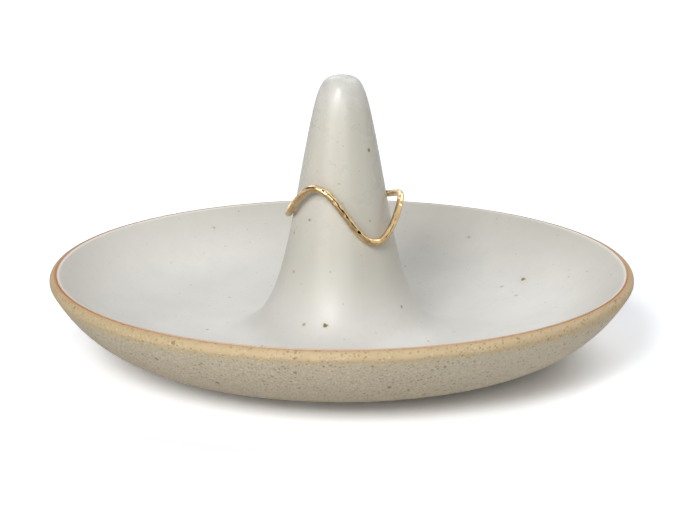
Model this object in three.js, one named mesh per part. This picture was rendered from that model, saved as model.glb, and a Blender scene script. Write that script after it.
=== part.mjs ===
// Ring cone: a shallow stoneware dish with a rounded cone in its middle, and a wave ring hanging on the cone.
// Millimetres, +Z up. The dish stands on its foot ring at z = 0, and the z axis is the cone's axis.
import * as THREE from "three";

// Rim and outer wall
const RIM_RADIUS = 52.5;
const RIM_HEIGHT = 16.3;
const LIP_ROUND = 1.2;
const WALL_LEAN = 31;
const WALL_PULL_AT_LIP = 0.59;
const WALL_PULL_AT_FOOT = 0.15;
const BELLY_SLOPE = 15.5;

// Foot ring and the recess inside it
const FOOT_RADIUS = 28;
const FOOT_HEIGHT = 1.6;
const FOOT_WIDTH = 3.6;
const FOOT_ROUND = 0.5;
const RECESS_DEPTH = 0.9;

// Inside of the dish, measured on the glaze
const FLOOR_HEIGHT = 4.6;
const VALLEY_RADIUS = 24;
const BOWL_SLOPE = 45;
const BOWL_PULL_AT_VALLEY = 0.5;
const BOWL_PULL_AT_LIP = 0.3;

// Cone, measured on the glaze: the waist is where the tip's curve passes into the flare
const TIP_HEIGHT = 51.5;
const TIP_ROUND = 4.25;
const WAIST_RADIUS = 8.33;
const WAIST_HEIGHT = 28.3;
const FLANK_LEAN = 10.1;
const TIP_PULL = 0.945;
const FLARE_PULL_AT_WAIST = 0.7;
const FLARE_PULL_AT_VALLEY = 0.33;

// Hollow under the cone
const HOLLOW_TOP = 37;
const HOLLOW_TOP_RADIUS = 2.8;
const HOLLOW_MOUTH_RADIUS = 10.6;
const HOLLOW_MOUTH_ROUND = 1;

// Glaze layer: it thins out over the lip and stops on top of the rim
const GLAZE_THICKNESS = 0.4;
const GLAZE_EDGE_THICKNESS = 0.15;
const GLAZE_END_ANGLE = 98;
const GLAZE_SEAM = 0.05;

// Wave ring: a circle of wire in plan, whose height is a sum of waves that peak at the front
const RING_INNER_DIAMETER = 18.9;
const WIRE_DIAMETER = 1.25;
const RING_OFFSET_RIGHT = 0.48;
const RING_OFFSET_BACK = 0;
const RING_TURN = 2;
const RING_LEAN_HEIGHT = 0.57;
const RING_TWO_WAVE_HEIGHT = 2.17;
const RING_THREE_WAVE_HEIGHT = 2.16;
const RING_FOUR_WAVE_HEIGHT = 0.69;
const RING_CLEARANCE = 0.25;

// Facets
const TURN_FACETS = 48;
const CURVE_STEPS = 9;
const ROUND_STEPS = 3;
const WIRE_STEPS = 72;
const WIRE_SIDES = 10;

const radians = THREE.MathUtils.degToRad;
const lipCentre = new THREE.Vector2(RIM_RADIUS - LIP_ROUND, RIM_HEIGHT - LIP_ROUND);
const glazeEnd = radians(GLAZE_END_ANGLE);
const bowlEnd = radians(90 + BOWL_SLOPE);

// A point on the lip's round, at an angle from the outward direction.
function onLip(angle) {
  return new THREE.Vector2(Math.cos(angle), Math.sin(angle)).multiplyScalar(LIP_ROUND).add(lipCentre);
}

// A smooth curve from one point to another with given directions at its ends.
// Each pull is a share of the straight distance between the two points.
function sweep(from, fromDirection, fromPull, to, toDirection, toPull, steps) {
  const chord = from.distanceTo(to);
  const leave = fromDirection.clone().multiplyScalar(fromPull * chord).add(from);
  const arrive = toDirection.clone().multiplyScalar(-toPull * chord).add(to);
  return new THREE.CubicBezierCurve(from, leave, arrive, to).getPoints(steps);
}

// Points of an arc from one angle to another, about a centre.
function arc(centre, radius, fromAngle, toAngle, steps) {
  const clockwise = toAngle < fromAngle;
  return new THREE.EllipseCurve(centre.x, centre.y, radius, radius, fromAngle, toAngle, clockwise).getPoints(steps);
}

// Joins stretches that share their end points into one profile.
function joined(...stretches) {
  return stretches.flatMap((points, index) => (index === 0 ? points : points.slice(1)));
}

// The glaze's visible surface in half section, from the cone's tip to its edge on the lip.
function glazedStretches() {
  const tip = new THREE.Vector2(0, TIP_HEIGHT);
  const waist = new THREE.Vector2(WAIST_RADIUS, WAIST_HEIGHT);
  const valley = new THREE.Vector2(VALLEY_RADIUS, FLOOR_HEIGHT);
  const outward = new THREE.Vector2(1, 0);
  const lean = radians(FLANK_LEAN);
  const downFlank = new THREE.Vector2(Math.sin(lean), -Math.cos(lean));
  const slope = radians(BOWL_SLOPE);
  const upBowl = new THREE.Vector2(Math.cos(slope), Math.sin(slope));
  const tipPull = TIP_ROUND / tip.distanceTo(waist);
  return {
    cone: sweep(tip, outward, tipPull, waist, downFlank, TIP_PULL, CURVE_STEPS),
    flare: sweep(waist, downFlank, FLARE_PULL_AT_WAIST, valley, outward, FLARE_PULL_AT_VALLEY, CURVE_STEPS),
    bowl: sweep(valley, outward, BOWL_PULL_AT_VALLEY, onLip(bowlEnd), upBowl, BOWL_PULL_AT_LIP, CURVE_STEPS),
    edge: arc(lipCentre, LIP_ROUND, bowlEnd, glazeEnd, ROUND_STEPS),
  };
}

// Moves each profile point into the clay, square to the profile, by its own depth. The tip stays on the axis.
function sunk(points, depths) {
  return points.map((point, index) => {
    const before = points[Math.max(index - 1, 0)];
    const after = points[Math.min(index + 1, points.length - 1)];
    const along = index === 0 ? new THREE.Vector2(1, 0) : after.clone().sub(before).normalize();
    return new THREE.Vector2(along.y, -along.x).multiplyScalar(depths[index]).add(point);
  });
}

// The glaze's thickness at each profile point: even, then thinning over the lip.
function glazeDepths(pointCount) {
  const thinFrom = pointCount - 1 - ROUND_STEPS;
  return Array.from({ length: pointCount }, (_, index) => {
    const thinning = Math.max(0, index - thinFrom) / ROUND_STEPS;
    return THREE.MathUtils.lerp(GLAZE_THICKNESS, GLAZE_EDGE_THICKNESS, thinning);
  });
}

// Outer wall, foot ring and recess of the clay in half section, from the rim down to the hollow's mouth.
function outerStretches() {
  const lean = radians(WALL_LEAN);
  const belly = radians(BELLY_SLOPE);
  const downWall = new THREE.Vector2(-Math.sin(lean), -Math.cos(lean));
  const intoFoot = new THREE.Vector2(-Math.cos(belly), -Math.sin(belly));
  const footEdge = new THREE.Vector2(FOOT_RADIUS, FOOT_HEIGHT);
  const footInside = FOOT_RADIUS - FOOT_WIDTH;
  const seamAngle = GLAZE_SEAM / LIP_ROUND;
  const outerRound = new THREE.Vector2(FOOT_RADIUS - FOOT_ROUND, FOOT_ROUND);
  const innerRound = new THREE.Vector2(footInside + FOOT_ROUND, FOOT_ROUND);
  return joined(
    arc(lipCentre, LIP_ROUND, glazeEnd - seamAngle, 0, ROUND_STEPS),
    arc(lipCentre, LIP_ROUND, 0, -lean, ROUND_STEPS),
    sweep(onLip(-lean), downWall, WALL_PULL_AT_LIP, footEdge, intoFoot, WALL_PULL_AT_FOOT, CURVE_STEPS),
  ).concat(
    arc(outerRound, FOOT_ROUND, 0, -Math.PI / 2, ROUND_STEPS),
    arc(innerRound, FOOT_ROUND, -Math.PI / 2, -Math.PI, ROUND_STEPS),
    [new THREE.Vector2(footInside, RECESS_DEPTH)],
  );
}

// The hollow under the cone in half section, from its mouth in the recess up to its closed round top.
function hollowPoints() {
  const mouthCentre = new THREE.Vector2(HOLLOW_MOUTH_RADIUS + HOLLOW_MOUTH_ROUND, RECESS_DEPTH + HOLLOW_MOUTH_ROUND);
  const topCentre = new THREE.Vector2(0, HOLLOW_TOP - HOLLOW_TOP_RADIUS);
  return arc(mouthCentre, HOLLOW_MOUTH_ROUND, -Math.PI / 2, -Math.PI, ROUND_STEPS).concat(
    arc(topCentre, HOLLOW_TOP_RADIUS, 0, Math.PI / 2, ROUND_STEPS),
  );
}

// Turns a half section, listed from the tip downwards, about the z axis.
function turned(profile) {
  const upwards = profile.map((point) => new THREE.Vector2(Math.max(point.x, 0), point.y)).reverse();
  upwards[0].x = 0;
  upwards[upwards.length - 1].x = 0;
  return new THREE.LatheGeometry(upwards, TURN_FACETS).rotateX(Math.PI / 2);
}

// The ring's centre line before it is seated: azimuth 0 is the front, and azimuth grows towards the right.
const ringRadius = (RING_INNER_DIAMETER + WIRE_DIAMETER) / 2;
function ringPoint(azimuth) {
  const phase = azimuth - radians(RING_TURN);
  const height =
    RING_LEAN_HEIGHT * Math.sin(phase) +
    RING_TWO_WAVE_HEIGHT * Math.sin(2 * phase) +
    RING_THREE_WAVE_HEIGHT * Math.sin(3 * phase) +
    RING_FOUR_WAVE_HEIGHT * Math.sin(4 * phase);
  return new THREE.Vector3(
    RING_OFFSET_RIGHT + ringRadius * Math.sin(azimuth),
    RING_OFFSET_BACK - ringRadius * Math.cos(azimuth),
    -height,
  );
}

// Least distance from a point to the glazed surface, in half section; negative inside the cone.
function distanceToGlaze(point, profile) {
  const radius = Math.hypot(point.x, point.y);
  const spot = new THREE.Vector3(radius, point.z, 0);
  const nearest = new THREE.Vector3();
  let least = Infinity;
  let inside = false;
  for (let index = 1; index < profile.length; index += 1) {
    const from = new THREE.Vector3(profile[index - 1].x, profile[index - 1].y, 0);
    const to = new THREE.Vector3(profile[index].x, profile[index].y, 0);
    new THREE.Line3(from, to).closestPointToPoint(spot, true, nearest);
    least = Math.min(least, nearest.distanceTo(spot));
    const share = (point.z - from.y) / (to.y - from.y);
    if (share >= 0 && share <= 1 && radius < from.x + share * (to.x - from.x)) {
      inside = true;
    }
  }
  return inside ? -least : least;
}

// The height at which the ring comes to rest on the cone, with its clearance, found by halving.
function ringSeat(points, profile) {
  const wanted = WIRE_DIAMETER / 2 + RING_CLEARANCE;
  let low = FLOOR_HEIGHT;
  let high = TIP_HEIGHT * 2;
  while (high - low > GLAZE_SEAM / 10) {
    const middle = (low + high) / 2;
    const raised = points.map((point) => point.clone().setZ(point.z + middle));
    const gap = Math.min(...raised.map((point) => distanceToGlaze(point, profile)));
    if (gap < wanted) {
      low = middle;
    } else {
      high = middle;
    }
  }
  return high;
}

// A closed loop of round wire along a closed centre line.
function closedWire(centres, radius, sides) {
  const positions = [];
  const faces = [];
  centres.forEach((centre, step) => {
    const after = centres[(step + 1) % centres.length];
    const before = centres[(step + centres.length - 1) % centres.length];
    const along = after.clone().sub(before).normalize();
    const level = new THREE.Vector3(along.y, -along.x, 0).normalize();
    const across = new THREE.Vector3().crossVectors(level, along);
    for (let side = 0; side < sides; side += 1) {
      const angle = (2 * Math.PI * side) / sides;
      const place = level.clone().multiplyScalar(radius * Math.cos(angle)).add(centre);
      place.addScaledVector(across, radius * Math.sin(angle));
      positions.push(place.x, place.y, place.z);
      const here = step * sides;
      const next = ((step + 1) % centres.length) * sides;
      const other = (side + 1) % sides;
      faces.push(here + side, next + side, next + other, here + side, next + other, here + other);
    }
  });
  const geometry = new THREE.BufferGeometry();
  geometry.setAttribute("position", new THREE.Float32BufferAttribute(positions, 3));
  geometry.setIndex(faces);
  geometry.computeVertexNormals();
  return geometry;
}

function piece(name, geometry, color, roughness, metalness) {
  const material = new THREE.MeshStandardMaterial({ color, roughness, metalness });
  const mesh = new THREE.Mesh(geometry, material);
  mesh.name = name;
  return mesh;
}

const glazed = glazedStretches();
const glazedProfile = joined(glazed.cone, glazed.flare, glazed.bowl, glazed.edge);
const depths = glazeDepths(glazedProfile.length);
const glazeUnderside = sunk(glazedProfile, depths);
const clayTop = sunk(glazedProfile, depths.map((depth) => depth + GLAZE_SEAM));

const stonewareBody = turned([...clayTop, ...outerStretches(), ...hollowPoints()]);
const glazeCoat = turned([...glazedProfile, ...glazeUnderside.reverse()]);

const ringCentres = Array.from({ length: WIRE_STEPS }, (_, step) => ringPoint((2 * Math.PI * step) / WIRE_STEPS));
const seat = ringSeat(ringCentres, glazedProfile);
const waveRing = closedWire(ringCentres, WIRE_DIAMETER / 2, WIRE_SIDES).translate(0, 0, seat);

const ringCone = new THREE.Group();
ringCone.add(piece("stoneware_body", stonewareBody, 0xb3a48c, 0.9, 0));
ringCone.add(piece("glaze_coat", glazeCoat, 0xd9d6cd, 0.35, 0));
ringCone.add(piece("wave_ring", waveRing, 0xd9ab5c, 0.15, 1));

export default ringCone;
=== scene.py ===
"""Ring cone: a shallow stoneware dish with a rounded cone in its middle, and a gold wave ring on the cone.

Named sizes are in millimetres and degrees. The scene is in metres, +Z up, and the cone's axis is the z axis.
Azimuth 0 is the front, where the camera stands (-Y), and azimuth grows towards the right (+X).
"""
import math

import bpy
import numpy as np
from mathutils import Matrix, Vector


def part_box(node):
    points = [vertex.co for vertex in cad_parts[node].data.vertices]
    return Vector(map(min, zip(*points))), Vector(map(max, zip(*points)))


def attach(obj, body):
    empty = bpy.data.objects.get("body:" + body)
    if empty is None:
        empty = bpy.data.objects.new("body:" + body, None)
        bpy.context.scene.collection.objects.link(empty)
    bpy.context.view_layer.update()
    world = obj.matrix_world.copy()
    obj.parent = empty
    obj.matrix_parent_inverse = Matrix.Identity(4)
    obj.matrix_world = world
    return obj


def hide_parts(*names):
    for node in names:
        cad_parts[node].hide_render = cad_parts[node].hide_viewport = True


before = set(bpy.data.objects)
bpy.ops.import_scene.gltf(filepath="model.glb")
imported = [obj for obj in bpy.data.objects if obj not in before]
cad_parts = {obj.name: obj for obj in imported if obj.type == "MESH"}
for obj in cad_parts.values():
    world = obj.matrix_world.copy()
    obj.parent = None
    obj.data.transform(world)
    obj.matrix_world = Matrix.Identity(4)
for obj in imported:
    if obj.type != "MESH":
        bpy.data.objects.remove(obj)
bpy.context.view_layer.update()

MM = 0.001
CAD_CLAY_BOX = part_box("stoneware_body")
CAD_GLAZE_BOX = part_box("glaze_coat")
CAD_RING_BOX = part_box("wave_ring")

# Rim and outer wall
RIM_RADIUS = CAD_CLAY_BOX[1].x / MM
RIM_HEIGHT = 16.3
LIP_ROUND = 1.2
WALL_LEAN = 31
WALL_PULL_AT_LIP = 0.59
WALL_PULL_AT_FOOT = 0.15
BELLY_SLOPE = 15.5

# Foot ring, the recess inside it and the hollow under the cone
FOOT_RADIUS = 28
FOOT_HEIGHT = 1.6
FOOT_WIDTH = 3.6
FOOT_ROUND = 0.5
RECESS_DEPTH = 0.9
HOLLOW_TOP = 37
HOLLOW_TOP_RADIUS = 2.8
HOLLOW_MOUTH_RADIUS = 10.6
HOLLOW_MOUTH_ROUND = 1

# Inside of the dish and the cone, on the glaze's face
FLOOR_HEIGHT = 4.6
VALLEY_RADIUS = 24
BOWL_SLOPE = 45
BOWL_PULL_AT_VALLEY = 0.5
BOWL_PULL_AT_LIP = 0.3
TIP_HEIGHT = CAD_GLAZE_BOX[1].z / MM
TIP_ROUND = 4.25
WAIST_RADIUS = 8.33
WAIST_HEIGHT = 28.3
FLANK_LEAN = 10.1
TIP_PULL = 0.945
FLARE_PULL_AT_WAIST = 0.7
FLARE_PULL_AT_VALLEY = 0.33

# Glaze coat
GLAZE_THICKNESS = 0.4
GLAZE_EDGE_THICKNESS = 0.16
GLAZE_THINS_OVER = 2.0
GLAZE_END_ANGLE = 98
GLAZE_SEAM = 0.05
LIP_RISE_ANGLE = 24

# Wave ring, with the heights of its 1, 2, 3 and 4 waves a turn, and its hammer marks
RING_INNER_DIAMETER = 18.9
WIRE_DIAMETER = 1.25
RING_OFFSET_RIGHT = 0.48
RING_TURN = 2
RING_WAVE_HEIGHTS = (0.57, 2.17, 2.16, 0.69)
HAMMER_MARKS = 150
HAMMER_DEPTH = 0.075
HAMMER_FACE_RADIUS = 2.0
HAMMER_MARK_TURN = 137.5
LEAST_FACING = 0.001

# Grid counts
TURN_STEPS = 288
CURVE_STEPS = 56
HIDDEN_CURVE_STEPS = 20
ROUND_STEPS = 16
WIRE_LENGTH_STEPS = 1200
WIRE_ROUND_STEPS = 40

# Camera, fitted to the photograph's frame
PHOTO_WIDTH = 680
CONE_AXIS_COLUMN = 341.75
FOCAL_PIXELS = 2775.7
SENSOR_WIDTH = 36
CAMERA_DISTANCE = 500
CAMERA_ELEVATION = 14.89
CAMERA_TARGET_HEIGHT = 18.58

# Lamps: azimuth, elevation, distance, width, height, and the radiance of a white sheet that faces them
LAMPS = {
    "key_softbox": (-20, 34, 1500, 500, 560, 0.51),
    "low_left_fill": (-40, 20, 1500, 700, 500, 0.165),
    "low_front_fill": (6, 20, 1500, 700, 500, 0.16),
    "back_right_fill": (135, 50, 1500, 1050, 1050, 0.34),
    "back_left_fill": (-160, 35, 1500, 1000, 900, 0.155),
}

# White room: its light on surfaces, and what is seen of it
WHITE = (1, 1, 1, 1)
AMBIENT_STRENGTH = 0.065
SEEN_STRENGTH = 1.0

# Dark cloths round the set, which only mirrors see: azimuth, elevation, distance, width, height
DARK_CLOTHS = {
    "camera_side_cloth": (28, 20, 1800, 2400, 1600),
    "left_cloth": (-105, 30, 1800, 3400, 1000),
}
CLOTH_COLOUR = (0.02, 0.02, 0.02, 1)

# White paper: the colour that lights the dish, the one that mirrors see, and the cooler one the camera sees
FLOOR_SIZE = 6000
FLOOR_COLOUR = (0.93, 0.93, 0.93, 1)
FLOOR_MIRRORED_COLOUR = (1.1, 1.1, 1.1, 1)
FLOOR_SEEN_COLOUR = (1.68, 1.73, 1.82, 1)

# Screen colours, 0 to 255 a channel, and the curve that makes them linear
SCREEN_WHITE = 255
TOE_END = 0.04045
TOE_SLOPE = 12.92
CURVE_OFFSET = 0.055
CURVE_POWER = 2.4

# Places of the colour sockets on a mix node
MIX_FIRST_COLOUR = 6
MIX_OTHER_COLOUR = 7
MIX_RESULT_COLOUR = 2

# Scattered grains: the spread of their sizes, their ragged outline and their solid core
GRAIN_SIZES = (0.55, 1.2)
RAGGED_GRAIN_SCALE = 2.5
RAGGED_GRAIN_NOISE = (0.25, 0.75)
RAGGED_GRAIN_REACH = (0.6, 1.4)
GRAIN_CORE = 0.5

# Cloudy tones: the noise's detail, and the part of its range that is stretched to run from 0 to 1
MOTTLE_DETAIL = 3.0
MOTTLE_NOISE = (0.2, 0.8)

# Iron specks: their ragged outline, the reach of their middle and halo in drawn sizes, and their colours
RAGGED_SPECK_SIZE = 0.5
RAGGED_SPECK_NOISE = (0.3, 0.7)
RAGGED_SPECK_REACH = (0.75, 1.25)
SPECK_EDGE = 0.6
SPECK_CORE = 0.2
SPECK_HALO = 1.5
SPECK_HALO_STRENGTH = 0.35
SPECK_DRAWN_SIZE = 1.25
IRON_DARK = (94, 84, 36)
IRON_HALO = (214, 196, 136)

# Iron specks that stand out on the glaze: azimuth, distance down the glaze from the tip, diameter, darkness
IRON_SPECKS = (
    (-12.0, 46.25, 0.7, 1.0),
    (122.4, 75.1, 0.85, 0.9),
    (48.2, 15.7, 0.6, 0.8),
    (-41.4, 28.0, 0.55, 0.6),
    (-28.6, 46.5, 0.55, 0.5),
    (-66.3, 31.2, 0.5, 0.5),
    (-48.5, 53.0, 0.5, 0.5),
    (125.8, 71.5, 0.6, 0.45),
    (-53, 37.7, 0.5, 0.4),
    (147.6, 81.8, 0.6, 0.35),
    (116.7, 70.8, 0.6, 0.4),
    (56.5, 52.4, 0.4, 0.45),
    (-148.5, 84.0, 0.5, 0.4),
    (-134, 63.4, 0.5, 0.35),
    (35.7, 28, 0.4, 0.4),
    (-3.3, 21.1, 0.4, 0.3),
)

# Front of the dish, where the glaze's edge is toasted more: the stretch of Y over which that comes in
FRONT_DEPTHS = (35, -10)

# Glaze tones, and the heights or distances from the glaze's edge over which each comes in
DISH_GLAZE = (227, 225, 219)
# Up the wall near the rim the glaze is paler: painted light that lifts the shade there
PAINTED_LIGHT_WALL_GLAZE = (233, 231, 224)
PAINTED_LIGHT_WALL_DISTANCES = (18, 8)
CONE_GLAZE = (209, 205, 192)
CONE_GLAZE_HEIGHTS = (7, 22)
# At the tip the glaze is paler: painted light standing in for the light that falls on the tip
PAINTED_LIGHT_TIP_GLAZE = (226, 224, 218)
PAINTED_LIGHT_TIP_HEIGHTS = (44, 51)
# Pale pinkish strip at the glaze's edge: thin glaze over the clay, with a painted highlight along the edge's
# rounded bead
PALE_EDGE_AND_HIGHLIGHT = (242, 231, 221)
EDGE_HIGHLIGHT_ACROSS = (-40, 20)
EDGE_HIGHLIGHT_WIDTHS = (0.65, 0.4)
EDGE_HIGHLIGHT_FADE = (0.95, 0.35)
TOASTED_GLAZE_BEHIND = (190, 172, 152)
TOASTED_GLAZE_IN_FRONT = (200, 146, 100)
TOASTED_GLAZE_DISTANCES = (0.14, 0.03)

# Glaze mottling: size and strength, with a colour where it tints the glaze
DISH_CLOUDS = (7, 0.5)
DISH_CLOUD_COLOUR = (214, 212, 206)
FINE_CLOUDS = (0.9, 0.15)
FINE_CLOUD_COLOUR = (208, 206, 199)
CONE_STREAKS = (3.5, 0.4)
CONE_STREAK_COLOUR = (204, 202, 193)
CONE_STREAK_STRETCH = (1, 1, 0.2)

# Glaze specks: spacing, size, share of the places that hold one, strength, colour
GLAZE_SPECKS = (
    (1.5, 0.4, 0.5, 0.3, (176, 158, 138)),
    (2.4, 0.5, 0.6, 0.5, (168, 164, 150)),
    (5, 0.8, 0.2, 0.6, (126, 116, 84)),
)

# Glaze gloss, which grows with height, and its waves
GLAZE_GLOSS_HEIGHTS = (9, 26)
GLAZE_ROUGHNESS = (0.39, 0.25)
GLAZE_ROUGHNESS_CLOUDS = (5, 0.06)
GLAZE_WAVES = (11, 1.0)
GLAZE_FINE_WAVES = (0.7, 0.05)
GLAZE_RELIEF = 0.03

# Clay tones; the clay is paler towards the right, painted light that stands in for more light on that side
CLAY = (203, 193, 173)
WARM_CLAY = (209, 197, 176)
WARM_CLAY_CLOUDS = (8, 1.0)
GRAINY_CLAY = (174, 162, 139)
CLAY_GRAIN = (0.4, 0.9)
PAINTED_LIGHT_CLAY = (216, 206, 187)
TO_THE_RIGHT = (5, 42)
PALER_BY = (0.0, 0.6)

# Tan band under the rim: where it ends, how far it wanders, and how its end softens towards the sides
BAND_END = 3.2
BAND_FULL = 2.3
BAND_WANDER = (2.2, 0.9)
BAND_SOFT_ACROSS = (10, 45)
BAND_SOFTNESS = (1.05, 1.75)
TAN = (213, 192, 157)
DEEP_TAN = (204, 180, 139)
DEEP_TAN_CLOUDS = (2, 1.0)
# At the left the band is darker: painted shade
PAINTED_SHADE_LEFT_TAN = (198, 177, 138)
TO_THE_LEFT = (-10, -42)
LEFT_SHADE_BY = (0.0, 0.7)
RIGHT_TAN = (222, 199, 160)
BAND_SPECKS = (0.8, 0.5, 0.75, 0.65)
BAND_SPECK_COLOUR = (170, 132, 84)

# Tones at the band's lower end and at the glaze's edge: distances from that edge, strengths and colours
OLIVE_CLAY = (198, 182, 142)
OLIVE_DISTANCES = (5.0, 2.4)
OLIVE_STRENGTH = 0.5
CREASE = (194, 172, 130)
CREASE_DISTANCES = (3.8, 3.0)
CREASE_STRENGTH = 0.7
LINE_SIDE_BEHIND = (188, 168, 144)
LINE_SIDE_IN_FRONT = (206, 164, 116)
LINE_SIDE_DISTANCES = (1.2, 0.4)
TOASTED_LINE_BEHIND = (172, 150, 126)
TOASTED_LINE_IN_FRONT = (192, 136, 88)
TOASTED_LINE_DISTANCES = (0.5, 0.25)
LINE_THICK_ACROSS = (-45, 0)
LINE_THICKNESS = (1.45, 1.0)
LINE_FAINT_ACROSS = (0, 45)
LINE_STRENGTH = (1.0, 0.35)

# Clay specks: spacing, size, share of the places that hold one, strength, colours in the clay and in the band
CLAY_SPECKS = (
    (0.6, 0.42, 0.8, 0.5, (128, 114, 92), (160, 126, 82)),
    (1.2, 0.55, 0.6, 0.55, (112, 97, 74), (146, 110, 68)),
    (2.6, 0.85, 0.35, 0.6, (100, 84, 60), (100, 84, 60)),
    (0.7, 0.4, 0.6, 0.5, (224, 215, 198), (224, 215, 198)),
)

# Clay's dull face: a little smoother in the band, with bumps all over and pits at its smallest specks
CLAY_ROUGHNESS = 0.9
BAND_SMOOTHER_BY = 0.2
CLAY_BUMPS = (0.45, 1.0)
CLAY_PITS = (0.6, 0.4, 0.8, -0.8)
CLAY_RELIEF = 0.03

# Gold
GOLD = (222, 195, 150)
DEEP_GOLD = (200, 167, 118)
DEEP_GOLD_CLOUDS = (1.5, 1.0)
GOLD_ROUGHNESS = 0.07
GOLD_WEAR = (0.6, 0.06)
GOLD_WAVES = (0.4, 1.0)
GOLD_RELIEF = 0.004


# Half sections: rows of (radius, height) in millimetres

def way(degrees):
    """Unit direction in a half section: 0 points outwards and 90 points up."""
    angle = math.radians(degrees)
    return np.array([math.cos(angle), math.sin(angle)])


def sweep(start, start_way, start_pull, end, end_way, end_pull, steps):
    """Cubic curve between two points that leaves and arrives along given directions.

    Each inner control point lies from its end along that end's direction, by its pull times the straight
    distance.
    """
    start, end = np.array(start, float), np.array(end, float)
    span = np.linalg.norm(end - start)
    leave = start + start_way * start_pull * span
    arrive = end - end_way * end_pull * span
    share = np.linspace(0, 1, steps + 1)[:, None]
    rest = 1 - share
    return rest**3 * start + 3 * rest**2 * share * leave + 3 * rest * share**2 * arrive + share**3 * end


def arc(centre, radius, from_angle, to_angle, steps):
    """Arc about a centre: centre plus radius times (cosine, sine) of evenly spaced angles."""
    angles = np.radians(np.linspace(from_angle, to_angle, steps + 1))[:, None]
    return np.array(centre) + radius * np.hstack([np.cos(angles), np.sin(angles)])


def joined(*stretches):
    """End-to-end stretches as one section, with each shared end point kept once."""
    return np.vstack([stretches[0]] + [stretch[1:] for stretch in stretches[1:]])


def lengths_along(section):
    """Distance of each point from the section's start, as the running sum of its straight steps."""
    steps = np.linalg.norm(np.diff(section, axis=0), axis=1)
    return np.concatenate([[0], np.cumsum(steps)])


def sunk(section, depths):
    """Section moved square to itself, to its right, by each point's depth; its start stays on the axis."""
    along = np.gradient(section, axis=0)
    along[0] = way(0)
    along /= np.linalg.norm(along, axis=1)[:, None]
    to_the_right = np.stack([along[:, 1], -along[:, 0]], axis=1)
    return section + to_the_right * np.asarray(depths)[:, None]


def eased(share):
    """Smooth step: three times the square less twice the cube, with the share held between 0 and 1."""
    share = np.clip(share, 0, 1)
    return share**2 * (3 - 2 * share)


LIP_CENTRE = np.array([RIM_RADIUS - LIP_ROUND, RIM_HEIGHT - LIP_ROUND])


def on_lip(angle):
    """Point on the lip's round at an angle from the outward direction."""
    return LIP_CENTRE + LIP_ROUND * way(angle)


def glazed_face(steps):
    """Glaze's face from the cone's tip to its edge on the lip: tip, flare, bowl and part of the lip."""
    tip = np.array([0, TIP_HEIGHT])
    waist = np.array([WAIST_RADIUS, WAIST_HEIGHT])
    valley = np.array([VALLEY_RADIUS, FLOOR_HEIGHT])
    bowl_end = 90 + BOWL_SLOPE
    lip = on_lip(bowl_end)
    down_flank = way(FLANK_LEAN - 90)
    tip_pull = TIP_ROUND / np.linalg.norm(waist - tip)
    return joined(
        sweep(tip, way(0), tip_pull, waist, down_flank, TIP_PULL, steps),
        sweep(waist, down_flank, FLARE_PULL_AT_WAIST, valley, way(0), FLARE_PULL_AT_VALLEY, steps),
        sweep(valley, way(0), BOWL_PULL_AT_VALLEY, lip, way(BOWL_SLOPE), BOWL_PULL_AT_LIP, steps),
        arc(LIP_CENTRE, LIP_ROUND, bowl_end, GLAZE_END_ANGLE, ROUND_STEPS),
    )


def glaze_depths(section):
    """Glaze thickness along its face: full, and easing down to the edge thickness over the last stretch."""
    lengths = lengths_along(section)
    share = eased((lengths[-1] - lengths) / GLAZE_THINS_OVER)
    return GLAZE_EDGE_THICKNESS + (GLAZE_THICKNESS - GLAZE_EDGE_THICKNESS) * share


def bare_lip():
    """Bare part of the lip: its round, sunk beside the glaze so that the glaze's edge stands proud of it."""
    angles = np.concatenate([
        np.linspace(GLAZE_END_ANGLE, 0, 2 * ROUND_STEPS + 1),
        np.linspace(0, -WALL_LEAN, ROUND_STEPS + 1)[1:],
    ])
    sinking = 1 - eased((GLAZE_END_ANGLE - angles) / LIP_RISE_ANGLE)
    radii = LIP_ROUND - (GLAZE_EDGE_THICKNESS + GLAZE_SEAM) * sinking
    turns = np.radians(angles)
    return LIP_CENTRE + radii[:, None] * np.stack([np.cos(turns), np.sin(turns)], axis=1)


def underside():
    """Clay from the wall's top down to the hollow's closed top: wall, foot ring, recess and hollow."""
    wall_top = on_lip(-WALL_LEAN)
    down_wall = way(-90 - WALL_LEAN)
    into_foot = way(180 + BELLY_SLOPE)
    foot_inside = FOOT_RADIUS - FOOT_WIDTH
    foot_edge = (FOOT_RADIUS, FOOT_HEIGHT)
    outer_round = (FOOT_RADIUS - FOOT_ROUND, FOOT_ROUND)
    inner_round = (foot_inside + FOOT_ROUND, FOOT_ROUND)
    mouth_centre = (HOLLOW_MOUTH_RADIUS + HOLLOW_MOUTH_ROUND, RECESS_DEPTH + HOLLOW_MOUTH_ROUND)
    top_centre = (0, HOLLOW_TOP - HOLLOW_TOP_RADIUS)
    return np.vstack([
        sweep(wall_top, down_wall, WALL_PULL_AT_LIP, foot_edge, into_foot, WALL_PULL_AT_FOOT, CURVE_STEPS),
        arc(outer_round, FOOT_ROUND, 0, -90, ROUND_STEPS),
        arc(inner_round, FOOT_ROUND, -90, -180, ROUND_STEPS),
        arc(mouth_centre, HOLLOW_MOUTH_ROUND, -90, -180, ROUND_STEPS),
        arc(top_centre, HOLLOW_TOP_RADIUS, 0, 90, ROUND_STEPS),
    ])


# Meshes

def add_piece(name, points, faces):
    """Smooth-shaded mesh object at the origin, with its points given in millimetres."""
    mesh = bpy.data.meshes.new(name)
    mesh.from_pydata(points * MM, [], faces)
    mesh.polygons.foreach_set("use_smooth", np.ones(len(mesh.polygons), bool))
    mesh.validate()
    piece = bpy.data.objects.new(name, mesh)
    bpy.context.scene.collection.objects.link(piece)
    return piece


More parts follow.
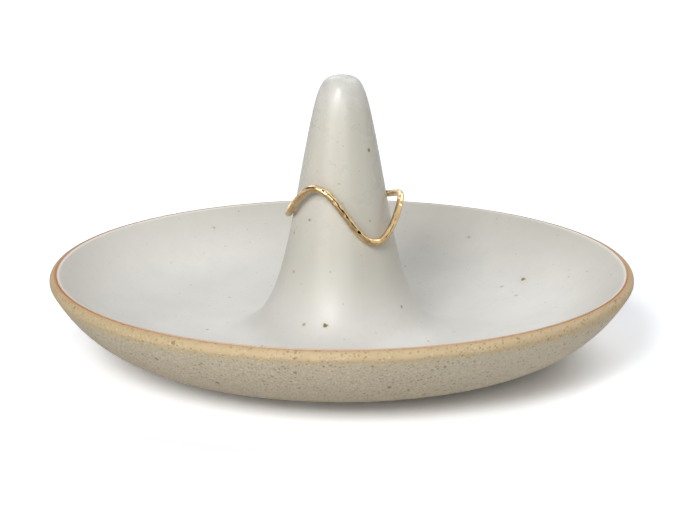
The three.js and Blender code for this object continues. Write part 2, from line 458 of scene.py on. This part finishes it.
def turned(name, section, from_line):
    """Half section carried round the z axis: (r, z) at azimuth a becomes (r sin a, -r cos a, z).

    The section runs from the axis back to the axis, so its two ends are single points closed by triangles,
    and the last azimuth joins the first. Each point keeps its distance from the glaze's edge as the attribute
    from_line.
    """
    azimuths = np.linspace(0, 2 * np.pi, TURN_STEPS, endpoint=False)
    rings = section[1:-1]
    radii = rings[:, :1]
    heights = np.repeat(rings[:, 1:], TURN_STEPS, axis=1)
    grid = np.stack([radii * np.sin(azimuths), -radii * np.cos(azimuths), heights], axis=2).reshape(-1, 3)
    first_pole = np.array([[0, 0, section[0, 1]]])
    last_pole = np.array([[0, 0, section[-1, 1]]])
    index = np.arange(len(grid)).reshape(len(rings), TURN_STEPS)
    onward = np.roll(index, -1, axis=1)
    quads = np.stack([index[:-1], index[1:], onward[1:], onward[:-1]], axis=2).reshape(-1, 4)
    first_fan = np.stack([np.full(TURN_STEPS, len(grid)), index[0], onward[0]], axis=1)
    last_fan = np.stack([index[-1], np.full(TURN_STEPS, len(grid) + 1), onward[-1]], axis=1)
    faces = quads.tolist() + first_fan.tolist() + last_fan.tolist()
    piece = add_piece(name, np.vstack([grid, first_pole, last_pole]), faces)
    distances = np.concatenate([np.repeat(from_line[1:-1], TURN_STEPS), from_line[[0, -1]]])
    mark = piece.data.attributes.new("from_line", "FLOAT", "POINT")
    mark.data.foreach_set("value", distances.astype(np.float32))
    return piece


def stoneware_body():
    """Clay of the dish and cone: the glaze's bed, the bare lip, the wall, the foot and the hollow."""
    face = glazed_face(HIDDEN_CURVE_STEPS)
    bed = sunk(face, glaze_depths(face) + GLAZE_SEAM)
    section = np.vstack([bed[:-1], bare_lip(), underside()[1:]])
    lengths = lengths_along(section)
    edge = len(bed) - 1
    return turned("stoneware_body_clay", section, lengths - lengths[edge])


def glaze_coat():
    """Glaze shell: its face, a rounded edge and its underside, turned as one closed coat."""
    face = glazed_face(CURVE_STEPS)
    bed = sunk(face, glaze_depths(face))
    hidden = glazed_face(HIDDEN_CURVE_STEPS)
    underneath = sunk(hidden, glaze_depths(hidden))[::-1]
    middle = (face[-1] + bed[-1]) / 2
    half_thick = (face[-1] - bed[-1]) / 2
    onward = np.array([half_thick[1], -half_thick[0]])
    turns = np.linspace(0, np.pi, ROUND_STEPS + 1)[1:-1, None]
    rounded_edge = middle + half_thick * np.cos(turns) + onward * np.sin(turns)
    section = np.vstack([face, rounded_edge, underneath])
    lengths = lengths_along(section)
    return turned("glaze_coat_satin", section, np.abs(lengths[len(face) - 1] - lengths))


def ring_centre_line(azimuth):
    """Ring's centre line: a circle in plan whose height is minus a sum of sines of 1 to 4 waves a turn."""
    radius = (RING_INNER_DIAMETER + WIRE_DIAMETER) / 2
    phase = azimuth - math.radians(RING_TURN)
    across = RING_OFFSET_RIGHT + radius * np.sin(azimuth)
    depth = -radius * np.cos(azimuth)
    height = -sum(rise * np.sin(waves * phase) for waves, rise in enumerate(RING_WAVE_HEIGHTS, start=1))
    return np.stack([across, depth, height], axis=-1)


def wave_ring():
    """Round wire carried along the ring's centre line, with hammer marks.

    At each step the wire's section is a circle. A hammer mark is a shallow face pressed in from one side:
    across the wire it is flat, along the wire it curves up with the hammer's face radius, and the wire's
    radius is the least of the full radius and the reach of every mark.
    """
    azimuths = np.linspace(0, 2 * np.pi, WIRE_LENGTH_STEPS, endpoint=False)
    centres = ring_centre_line(azimuths)
    cad_middle = (CAD_RING_BOX[0].z + CAD_RING_BOX[1].z) / 2 / MM
    centres[:, 2] += cad_middle - (centres[:, 2].min() + centres[:, 2].max()) / 2
    along = np.roll(centres, -1, axis=0) - np.roll(centres, 1, axis=0)
    steps = np.linalg.norm(along, axis=1) / 2
    along /= np.linalg.norm(along, axis=1)[:, None]
    outward = np.stack([along[:, 1], -along[:, 0], np.zeros(len(along))], axis=1)
    outward /= np.linalg.norm(outward, axis=1)[:, None]
    across = np.cross(outward, along)
    travelled = np.cumsum(steps)
    turns = np.linspace(0, 2 * np.pi, WIRE_ROUND_STEPS, endpoint=False)
    reach = np.full((WIRE_LENGTH_STEPS, WIRE_ROUND_STEPS), WIRE_DIAMETER / 2)
    for mark in range(HAMMER_MARKS):
        apart = np.abs(travelled - travelled[-1] * mark / HAMMER_MARKS)
        apart = np.minimum(apart, travelled[-1] - apart)
        face = WIRE_DIAMETER / 2 - HAMMER_DEPTH + apart**2 / (2 * HAMMER_FACE_RADIUS)
        facing = np.cos(turns - math.radians(HAMMER_MARK_TURN * mark))
        pressed = face[:, None] / np.maximum(facing, LEAST_FACING)
        reach = np.minimum(reach, pressed)
    outward_share = np.cos(turns)[None, :, None]
    across_share = np.sin(turns)[None, :, None]
    spokes = outward_share * outward[:, None] + across_share * across[:, None]
    points = (centres[:, None] + reach[:, :, None] * spokes).reshape(-1, 3)
    index = np.arange(len(points)).reshape(WIRE_LENGTH_STEPS, WIRE_ROUND_STEPS)
    ahead = np.roll(index, -1, axis=0)
    corners = [index, ahead, np.roll(ahead, -1, axis=1), np.roll(index, -1, axis=1)]
    faces = np.stack(corners, axis=2).reshape(-1, 4)
    return add_piece("wave_ring_wire", points, faces.tolist())


# Materials

def linear(screen_colour):
    """Screen colour as the linear colour that a shader takes."""
    screen = np.array(screen_colour) / SCREEN_WHITE
    curve = ((screen + CURVE_OFFSET) / (1 + CURVE_OFFSET)) ** CURVE_POWER
    value = np.where(screen <= TOE_END, screen / TOE_SLOPE, curve)
    return (*value.tolist(), 1.0)


def metres(span):
    """Both ends of a span in millimetres, in metres."""
    return tuple(end * MM for end in span)


def node(tree, kind, inputs=None, **settings):
    """Adds a node; an input given as another node's output is linked, and any other value is set."""
    made = tree.nodes.new(kind)
    for name, value in settings.items():
        setattr(made, name, value)
    for socket, value in (inputs or {}).items():
        if isinstance(value, bpy.types.NodeSocket):
            tree.links.new(value, made.inputs[socket])
        else:
            made.inputs[socket].default_value = value
    return made


def new_material(name):
    """Empty node material; returns the material and its node tree."""
    material = bpy.data.materials.new(name)
    material.use_nodes = True
    material.node_tree.nodes.clear()
    return material, material.node_tree


def new_group(name, inputs, outputs):
    """Empty shader node group; returns it, the outputs of its input node, and its output node."""
    group = bpy.data.node_groups.new(name, "ShaderNodeTree")
    for socket, kind in inputs.items():
        group.interface.new_socket(socket, in_out="INPUT", socket_type=kind)
    for socket in outputs:
        group.interface.new_socket(socket, in_out="OUTPUT", socket_type="NodeSocketFloat")
    return group, group.nodes.new("NodeGroupInput").outputs, group.nodes.new("NodeGroupOutput")


def maths(tree, operation, first, second=0.0):
    """Output of a math node on two values."""
    return node(tree, "ShaderNodeMath", {0: first, 1: second}, operation=operation).outputs[0]


def times(tree, first, second):
    """Product of two values."""
    return maths(tree, "MULTIPLY", first, second)


def ramp(tree, value, span, levels=(0.0, 1.0)):
    """Value eased from the first level to the second over a span, and held beyond; the span may run down."""
    start, end = span
    low, high = levels
    inputs = {"Value": value, "From Min": start, "From Max": end, "To Min": low, "To Max": high}
    return node(tree, "ShaderNodeMapRange", inputs, interpolation_type="SMOOTHSTEP").outputs["Result"]


def blend(tree, share, colour, other):
    """First colour where the share is 0, and the other where it is 1."""
    inputs = {"Factor": share, MIX_FIRST_COLOUR: colour, MIX_OTHER_COLOUR: other}
    return node(tree, "ShaderNodeMix", inputs, data_type="RGBA").outputs[MIX_RESULT_COLOUR]


def specks_group():
    """Grains scattered through the clay or glaze, cut by its surface.

    Every cell of a random cell pattern may hold one grain round its centre: a random share of the cells do,
    each with a size of its own, and noise makes the grain's outline ragged.
    """
    inputs = {"Place": "NodeSocketVector", "Spacing": "NodeSocketFloat", "Size": "NodeSocketFloat",
              "Share": "NodeSocketFloat"}
    tree, given, result = new_group("specks", inputs, ["Mask"])
    scale = maths(tree, "DIVIDE", 1 / MM, given["Spacing"])
    cells = node(tree, "ShaderNodeTexVoronoi", {"Vector": given["Place"], "Scale": scale})
    chance = node(tree, "ShaderNodeSeparateColor", {"Color": cells.outputs["Color"]}).outputs
    present = maths(tree, "LESS_THAN", chance["Red"], given["Share"])
    half_size = maths(tree, "DIVIDE", given["Size"], 2)
    radius = maths(tree, "DIVIDE", half_size, given["Spacing"])
    radius = times(tree, radius, ramp(tree, chance["Green"], (0, 1), GRAIN_SIZES))
    ragged_scale = maths(tree, "DIVIDE", RAGGED_GRAIN_SCALE / MM, given["Size"])
    noise_inputs = {"Vector": given["Place"], "Scale": ragged_scale}
    ragged = node(tree, "ShaderNodeTexNoise", noise_inputs).outputs["Fac"]
    reach = times(tree, radius, ramp(tree, ragged, RAGGED_GRAIN_NOISE, RAGGED_GRAIN_REACH))
    mask = ramp(tree, cells.outputs["Distance"], (reach, times(tree, reach, GRAIN_CORE)))
    tree.links.new(times(tree, mask, present), result.inputs["Mask"])
    return tree


def mottle_group():
    """Cloudy change of tone: noise of a given size in millimetres, stretched to run from 0 to 1."""
    inputs = {"Place": "NodeSocketVector", "Size": "NodeSocketFloat"}
    tree, given, result = new_group("mottle", inputs, ["Tone"])
    scale = maths(tree, "DIVIDE", 1 / MM, given["Size"])
    noise_inputs = {"Vector": given["Place"], "Scale": scale, "Detail": MOTTLE_DETAIL}
    noise = node(tree, "ShaderNodeTexNoise", noise_inputs).outputs["Fac"]
    tree.links.new(ramp(tree, noise, MOTTLE_NOISE), result.inputs["Tone"])
    return tree


def iron_speck_group():
    """One iron speck at a stated place: a dark middle, and the halo that it bleeds into the glaze."""
    inputs = {"Place": "NodeSocketVector", "Centre": "NodeSocketVector", "Size": "NodeSocketFloat"}
    tree, given, result = new_group("iron_speck", inputs, ["Dark", "Halo"])
    ends = {0: given["Place"], 1: given["Centre"]}
    reach = node(tree, "ShaderNodeVectorMath", ends, operation="DISTANCE").outputs["Value"]
    noise_inputs = {"Vector": given["Place"], "Scale": 1 / RAGGED_SPECK_SIZE / MM}
    ragged = node(tree, "ShaderNodeTexNoise", noise_inputs).outputs["Fac"]
    per_metre = [share / MM for share in RAGGED_SPECK_REACH]
    reach = times(tree, reach, ramp(tree, ragged, RAGGED_SPECK_NOISE, per_metre))
    edge = times(tree, given["Size"], SPECK_EDGE)
    core = times(tree, given["Size"], SPECK_CORE)
    tree.links.new(ramp(tree, reach, (edge, core)), result.inputs["Dark"])
    halo_edge = times(tree, given["Size"], SPECK_HALO)
    tree.links.new(ramp(tree, reach, (halo_edge, 0.0)), result.inputs["Halo"])
    return tree


SPECKS = specks_group()
MOTTLE = mottle_group()
IRON_SPECK = iron_speck_group()


def specks(tree, place, spacing, size, share, strength):
    """Mask of scattered grains, times a strength."""
    inputs = {"Place": place, "Spacing": spacing, "Size": size, "Share": share}
    mask = node(tree, "ShaderNodeGroup", inputs, node_tree=SPECKS).outputs["Mask"]
    return times(tree, mask, strength)


def mottle(tree, place, size, strength):
    """Cloudy tone of a given size, times a strength."""
    tone = node(tree, "ShaderNodeGroup", {"Place": place, "Size": size}, node_tree=MOTTLE).outputs["Tone"]
    return times(tree, tone, strength)


def surface_place(tree):
    """Point of the surface in its object's frame, and the same as its three coordinates, in metres."""
    place = node(tree, "ShaderNodeTexCoord").outputs["Object"]
    return place, node(tree, "ShaderNodeSeparateXYZ", {"Vector": place}).outputs


def distance_from_line(tree):
    """Distance from the glaze's edge, in millimetres."""
    return node(tree, "ShaderNodeAttribute", attribute_name="from_line").outputs["Fac"]


def finish_surface(tree, colour, roughness, height, relief):
    """Principled surface with a colour, a roughness and a bump, where a height of 1 stands for the relief."""
    bump = node(tree, "ShaderNodeBump", {"Height": height, "Distance": relief * MM, "Strength": 1.0})
    inputs = {"Base Color": colour, "Roughness": roughness, "Normal": bump.outputs["Normal"]}
    shader = node(tree, "ShaderNodeBsdfPrincipled", inputs)
    node(tree, "ShaderNodeOutputMaterial", {"Surface": shader.outputs["BSDF"]})
    return shader


def on_glaze(azimuth, distance):
    """Point on the glaze's face at an azimuth and at a distance down the face from the tip, in metres."""
    face = glazed_face(CURVE_STEPS)
    lengths = lengths_along(face)
    radius = np.interp(distance, lengths, face[:, 0])
    height = np.interp(distance, lengths, face[:, 1])
    turn = math.radians(azimuth)
    return Vector((radius * math.sin(turn), -radius * math.cos(turn), height)) * MM


def with_iron_specks(tree, place, colour):
    """Colour with each placed iron speck's halo and dark middle laid over it."""
    for azimuth, distance, size, darkness in IRON_SPECKS:
        inputs = {"Place": place, "Centre": on_glaze(azimuth, distance), "Size": SPECK_DRAWN_SIZE * size}
        speck = node(tree, "ShaderNodeGroup", inputs, node_tree=IRON_SPECK).outputs
        halo = times(tree, speck["Halo"], SPECK_HALO_STRENGTH * darkness)
        colour = blend(tree, halo, colour, linear(IRON_HALO))
        dark = times(tree, speck["Dark"], darkness)
        colour = blend(tree, dark, colour, linear(IRON_DARK))
    return colour


def glaze_material():
    """Satin off-white glaze: warmer on the cone, with iron specks and a pale, toasted edge on the lip."""
    material, tree = new_material("satin_glaze")
    place, spot = surface_place(tree)
    from_line = distance_from_line(tree)
    height = spot["Z"]
    on_cone = ramp(tree, height, metres(CONE_GLAZE_HEIGHTS))
    # Paler glaze at the tip: painted light standing in for the light on the tip
    painted_tip_light = ramp(tree, height, metres(PAINTED_LIGHT_TIP_HEIGHTS))
    # Paler glaze up the wall near the rim: painted light that lifts the shade there
    painted_wall_light = ramp(tree, from_line, PAINTED_LIGHT_WALL_DISTANCES)
    colour = blend(tree, painted_wall_light, linear(DISH_GLAZE), linear(PAINTED_LIGHT_WALL_GLAZE))
    colour = blend(tree, on_cone, colour, linear(CONE_GLAZE))
    colour = blend(tree, painted_tip_light, colour, linear(PAINTED_LIGHT_TIP_GLAZE))
    in_dish = maths(tree, "SUBTRACT", 1.0, on_cone)
    clouds = times(tree, mottle(tree, place, *DISH_CLOUDS), in_dish)
    colour = blend(tree, clouds, colour, linear(DISH_CLOUD_COLOUR))
    colour = blend(tree, mottle(tree, place, *FINE_CLOUDS), colour, linear(FINE_CLOUD_COLOUR))
    stretching = {"Vector": place, "Scale": CONE_STREAK_STRETCH}
    stretched = node(tree, "ShaderNodeMapping", stretching).outputs["Vector"]
    streaks = times(tree, mottle(tree, stretched, *CONE_STREAKS), on_cone)
    colour = blend(tree, streaks, colour, linear(CONE_STREAK_COLOUR))
    for *scatter, speck_colour in GLAZE_SPECKS:
        colour = blend(tree, specks(tree, place, *scatter), colour, linear(speck_colour))
    colour = with_iron_specks(tree, place, colour)
    # Pale pinkish edge strip: thin glaze over the clay, and a painted highlight along the edge's bead
    highlight_width = ramp(tree, spot["X"], metres(EDGE_HIGHLIGHT_ACROSS), EDGE_HIGHLIGHT_WIDTHS)
    edge = ramp(tree, maths(tree, "DIVIDE", from_line, highlight_width), EDGE_HIGHLIGHT_FADE)
    colour = blend(tree, edge, colour, linear(PALE_EDGE_AND_HIGHLIGHT))
    at_front = ramp(tree, spot["Y"], metres(FRONT_DEPTHS))
    toast = blend(tree, at_front, linear(TOASTED_GLAZE_BEHIND), linear(TOASTED_GLAZE_IN_FRONT))
    colour = blend(tree, ramp(tree, from_line, TOASTED_GLAZE_DISTANCES), colour, toast)
    gloss = ramp(tree, height, metres(GLAZE_GLOSS_HEIGHTS), GLAZE_ROUGHNESS)
    roughness = maths(tree, "ADD", mottle(tree, place, *GLAZE_ROUGHNESS_CLOUDS), gloss)
    waves = mottle(tree, place, *GLAZE_WAVES)
    relief = maths(tree, "ADD", waves, mottle(tree, place, *GLAZE_FINE_WAVES))
    finish_surface(tree, colour, roughness, relief, GLAZE_RELIEF)
    return material


def tan_band(tree, place, spot, from_line, at_front):
    """Colour of the tan band: clouded, darker at the left with painted shade, paler at the right, browner
    beside the glaze.
    """
    across = spot["X"]
    tan = blend(tree, mottle(tree, place, *DEEP_TAN_CLOUDS), linear(TAN), linear(DEEP_TAN))
    # Darker band towards the left: painted shade
    tan = blend(tree, ramp(tree, across, metres(TO_THE_LEFT), LEFT_SHADE_BY), tan, linear(PAINTED_SHADE_LEFT_TAN))
    tan = blend(tree, ramp(tree, across, metres(TO_THE_RIGHT), PALER_BY), tan, linear(RIGHT_TAN))
    line_side = blend(tree, at_front, linear(LINE_SIDE_BEHIND), linear(LINE_SIDE_IN_FRONT))
    tan = blend(tree, ramp(tree, from_line, LINE_SIDE_DISTANCES), tan, line_side)
    return blend(tree, specks(tree, place, *BAND_SPECKS), tan, linear(BAND_SPECK_COLOUR))


def stoneware_material():
    """Bare speckled stoneware: grey beige clay, with a toasted line and a tan band beside the glaze."""
    material, tree = new_material("bare_stoneware")
    place, spot = surface_place(tree)
    from_line = distance_from_line(tree)
    across = spot["X"]
    at_front = ramp(tree, spot["Y"], metres(FRONT_DEPTHS))
    colour = blend(tree, mottle(tree, place, *WARM_CLAY_CLOUDS), linear(CLAY), linear(WARM_CLAY))
    colour = blend(tree, mottle(tree, place, *CLAY_GRAIN), colour, linear(GRAINY_CLAY))
    # Paler clay towards the right: painted light standing in for more light on that side
    painted_right_light = ramp(tree, across, metres(TO_THE_RIGHT), PALER_BY)
    colour = blend(tree, painted_right_light, colour, linear(PAINTED_LIGHT_CLAY))
    olive = times(tree, ramp(tree, from_line, OLIVE_DISTANCES), OLIVE_STRENGTH)
    colour = blend(tree, olive, colour, linear(OLIVE_CLAY))
    wander = maths(tree, "ADD", from_line, mottle(tree, place, *BAND_WANDER))
    crease = times(tree, ramp(tree, wander, CREASE_DISTANCES), CREASE_STRENGTH)
    colour = blend(tree, crease, colour, linear(CREASE))
    sideways = maths(tree, "ABSOLUTE", across)
    softness = ramp(tree, sideways, metres(BAND_SOFT_ACROSS), BAND_SOFTNESS)
    band_end = times(tree, softness, BAND_END)
    band_full = maths(tree, "DIVIDE", BAND_FULL, softness)
    band = ramp(tree, wander, (band_end, band_full))
    colour = blend(tree, band, colour, tan_band(tree, place, spot, from_line, at_front))
    for *scatter, in_clay, in_band in CLAY_SPECKS:
        speck_colour = blend(tree, band, linear(in_clay), linear(in_band))
        colour = blend(tree, specks(tree, place, *scatter), colour, speck_colour)
    thick = ramp(tree, across, metres(LINE_THICK_ACROSS), LINE_THICKNESS)
    line = ramp(tree, maths(tree, "DIVIDE", from_line, thick), TOASTED_LINE_DISTANCES)
    line = times(tree, ramp(tree, across, metres(LINE_FAINT_ACROSS), LINE_STRENGTH), line)
    toast = blend(tree, at_front, linear(TOASTED_LINE_BEHIND), linear(TOASTED_LINE_IN_FRONT))
    colour = blend(tree, line, colour, toast)
    roughness = maths(tree, "SUBTRACT", CLAY_ROUGHNESS, times(tree, band, BAND_SMOOTHER_BY))
    relief = maths(tree, "ADD", mottle(tree, place, *CLAY_BUMPS), specks(tree, place, *CLAY_PITS))
    finish_surface(tree, colour, roughness, relief, CLAY_RELIEF)
    return material


def gold_material():
    """Polished gold with a faint wear haze."""
    material, tree = new_material("polished_gold")
    place = node(tree, "ShaderNodeTexCoord").outputs["Object"]
    colour = blend(tree, mottle(tree, place, *DEEP_GOLD_CLOUDS), linear(GOLD), linear(DEEP_GOLD))
    roughness = maths(tree, "ADD", mottle(tree, place, *GOLD_WEAR), GOLD_ROUGHNESS)
    shader = finish_surface(tree, colour, roughness, mottle(tree, place, *GOLD_WAVES), GOLD_RELIEF)
    shader.inputs["Metallic"].default_value = 1.0
    return material


# Camera, light and floor

def place_around(azimuth, elevation, distance, target_height):
    """Point at a distance from a target on the cone's axis, and the turn that makes -Z look back at it."""
    turn, rise = math.radians(azimuth), math.radians(elevation)
    arm = Vector((math.sin(turn) * math.cos(rise), -math.cos(turn) * math.cos(rise), math.sin(rise)))
    target = Vector((0, 0, target_height * MM))
    return target + arm * distance * MM, (-arm).to_track_quat("-Z", "Y").to_euler()


def add_camera():
    """Camera at the photograph's angle, shifted so that the cone's axis falls in the photograph's column."""
    camera = bpy.data.cameras.new("photo_view")
    camera.sensor_width = SENSOR_WIDTH
    camera.lens = FOCAL_PIXELS / PHOTO_WIDTH * SENSOR_WIDTH
    camera.shift_x = (PHOTO_WIDTH / 2 - CONE_AXIS_COLUMN) / PHOTO_WIDTH
    holder = bpy.data.objects.new("photo_view", camera)
    view = place_around(0, CAMERA_ELEVATION, CAMERA_DISTANCE, CAMERA_TARGET_HEIGHT)
    holder.location, holder.rotation_euler = view
    bpy.context.scene.collection.objects.link(holder)
    bpy.context.scene.camera = holder


def add_lamp(name, azimuth, elevation, distance, width, height, radiance):
    """Rectangular softbox aimed at the foot; its power gives a white sheet facing it the stated radiance."""
    light = bpy.data.lights.new(name, "AREA")
    light.shape = "RECTANGLE"
    light.size = width * MM
    light.size_y = height * MM
    light.energy = radiance * (math.pi * distance * MM) ** 2
    holder = bpy.data.objects.new(name, light)
    holder.location, holder.rotation_euler = place_around(azimuth, elevation, distance, 0)
    bpy.context.scene.collection.objects.link(holder)


def add_world():
    """Dim even light for surfaces; rays from the camera, mirrored or let through see white."""
    world = bpy.data.worlds.new("white_room")
    world.use_nodes = True
    tree = world.node_tree
    tree.nodes.clear()
    path = node(tree, "ShaderNodeLightPath").outputs
    shown = maths(tree, "MAXIMUM", path["Is Camera Ray"], path["Is Glossy Ray"])
    shown = maths(tree, "MAXIMUM", shown, path["Is Transmission Ray"])
    strength = ramp(tree, shown, (0, 1), (AMBIENT_STRENGTH, SEEN_STRENGTH))
    light = node(tree, "ShaderNodeBackground", {"Color": WHITE, "Strength": strength})
    node(tree, "ShaderNodeOutputWorld", {"Surface": light.outputs["Background"]})
    bpy.context.scene.world = world


def add_floor():
    """White paper that the camera sees brighter than it is, so that it is white and keeps the shadow."""
    half = FLOOR_SIZE / 2
    corners = np.array([[-half, -half, 0], [half, -half, 0], [half, half, 0], [-half, half, 0]])
    floor = add_piece("studio_floor", corners, [[0, 1, 2, 3]])
    material, tree = new_material("white_paper")
    path = node(tree, "ShaderNodeLightPath").outputs
    mirrored = maths(tree, "MAXIMUM", path["Is Glossy Ray"], path["Is Transmission Ray"])
    white = blend(tree, mirrored, FLOOR_COLOUR, FLOOR_MIRRORED_COLOUR)
    white = blend(tree, path["Is Camera Ray"], white, FLOOR_SEEN_COLOUR)
    paper = node(tree, "ShaderNodeBsdfDiffuse", {"Color": white})
    node(tree, "ShaderNodeOutputMaterial", {"Surface": paper.outputs["BSDF"]})
    floor.data.materials.append(material)


def add_cloth(name, azimuth, elevation, distance, width, height):
    """Dark cloth aimed at the foot, for dark lines in the ring's gloss; the camera and soft light miss it."""
    middle, turn = place_around(azimuth, elevation, distance, 0)
    sides = turn.to_matrix()
    across = np.array(sides.col[0]) * width / 2
    upward = np.array(sides.col[1]) * height / 2
    low = np.array(middle) / MM - upward
    high = np.array(middle) / MM + upward
    corners = np.array([low - across, low + across, high + across, high - across])
    cloth = add_piece(name, corners, [[0, 1, 2, 3]])
    material, tree = new_material(name)
    surface = node(tree, "ShaderNodeBsdfDiffuse", {"Color": CLOTH_COLOUR})
    node(tree, "ShaderNodeOutputMaterial", {"Surface": surface.outputs["BSDF"]})
    cloth.data.materials.append(material)
    cloth.visible_camera = False
    cloth.visible_diffuse = False
    cloth.visible_shadow = False


def dress(piece, material, cad_node, body):
    """Gives a piece its finish, and puts it in the place of its construction node on that node's body."""
    piece.data.materials.append(material)
    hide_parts(cad_node)
    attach(piece, body)


bpy.context.scene.view_settings.view_transform = "Standard"
add_camera()
add_world()
for lamp, setting in LAMPS.items():
    add_lamp(lamp, *setting)
add_floor()
for cloth, setting in DARK_CLOTHS.items():
    add_cloth(cloth, *setting)
dress(stoneware_body(), stoneware_material(), "stoneware_body", "dish")
dress(glaze_coat(), glaze_material(), "glaze_coat", "dish")
dress(wave_ring(), gold_material(), "wave_ring", "ring")
